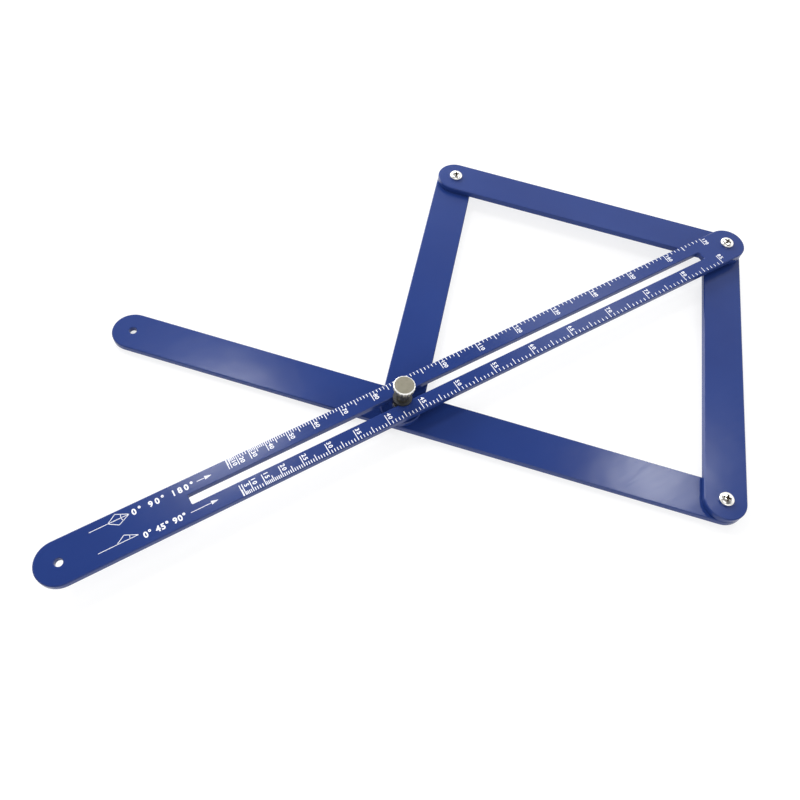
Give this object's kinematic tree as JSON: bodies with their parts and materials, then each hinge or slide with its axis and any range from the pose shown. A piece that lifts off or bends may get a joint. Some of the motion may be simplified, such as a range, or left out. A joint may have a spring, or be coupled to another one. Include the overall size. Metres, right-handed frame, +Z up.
{
  "type": "angle finder with arms",
  "caption": "Flat linkage angle finder: a slotted ruler with an angle scale halves the angle between hinged arms, and a thumb knob locks it.",
  "frame": {"origin": "below the middle of the ruler, level with the lowest fastener heads that the tool rests on", "axes": "+X along the ruler from its hanging hole to the apex pivot, +Y to the side of the upper link, +Z up out of the printed face"},
  "size_m": [0.429, 0.2718, 0.0278],
  "materials": {
    "navy_plastic": "glossy moulded",
    "plated_steel": "zinc plated",
    "knob_metal": "turned, matte",
    "black_nylon": "plain moulded"
  },
  "bodies": {
    "ruler": {"ruler": "navy_plastic", "apex_barrel": "plated_steel", "apex_screw": "plated_steel", "apex_lower_washer": "plated_steel", "apex_upper_washer": "plated_steel"},
    "side_link": {"side_link": "navy_plastic", "arm_barrel": "plated_steel", "arm_screw": "plated_steel", "arm_washer": "plated_steel"},
    "upper_link": {"upper_link": "navy_plastic", "corner_barrel": "plated_steel", "corner_screw": "plated_steel", "corner_washer": "plated_steel"},
    "inner_link": {"inner_link": "navy_plastic"},
    "long_arm": {"long_arm": "navy_plastic", "clamp_bolt": "plated_steel", "clamp_pivot_washer": "plated_steel", "clamp_spacer": "plated_steel"},
    "clamp_washer": {"clamp_washer": "black_nylon"},
    "thumb_knob": {"thumb_knob": "knob_metal"}
  },
  "joints": [
    {"name": "fold", "type": "hinge", "parent": "ruler", "child": "side_link", "pos_m": [0.2035, 0, 0.0066], "axis": [0, 0, 1], "range_deg": [-41.8, 38.2]},
    {"name": "upper_fold", "type": "hinge", "parent": "ruler", "child": "upper_link", "pos_m": [0.2035, 0, 0.0101], "axis": [0, 0, 1], "range_deg": [-38.2, 41.8]},
    {"name": "corner_fold", "type": "hinge", "parent": "upper_link", "child": "inner_link", "pos_m": [0.08821, 0.12494, 0.0066], "axis": [0, 0, 1], "range_deg": [-83.6, 76.4]},
    {"name": "arm_fold", "type": "hinge", "parent": "side_link", "child": "long_arm", "pos_m": [0.08821, -0.12494, 0.0031], "axis": [0, 0, 1], "range_deg": [-76.4, 83.6]},
    {"name": "clamp_lift", "type": "slide", "parent": "long_arm", "child": "clamp_washer", "axis": [0, 0, 1], "range_m": [0, 0.0016]},
    {"name": "knob_turn", "type": "hinge", "parent": "clamp_washer", "child": "thumb_knob", "pos_m": [-0.02707, 0, 0.0202], "axis": [0, 0, 1], "range_deg": [0, 720.2]}
  ],
  "couplings": [
    {"joint": "upper_fold", "follows": "fold", "ratio": -1},
    {"joint": "corner_fold", "follows": "fold", "ratio": 2},
    {"joint": "arm_fold", "follows": "fold", "ratio": -2},
    {"joint": "knob_turn", "follows": "clamp_lift", "rad_per_m": 7854}
  ]
}
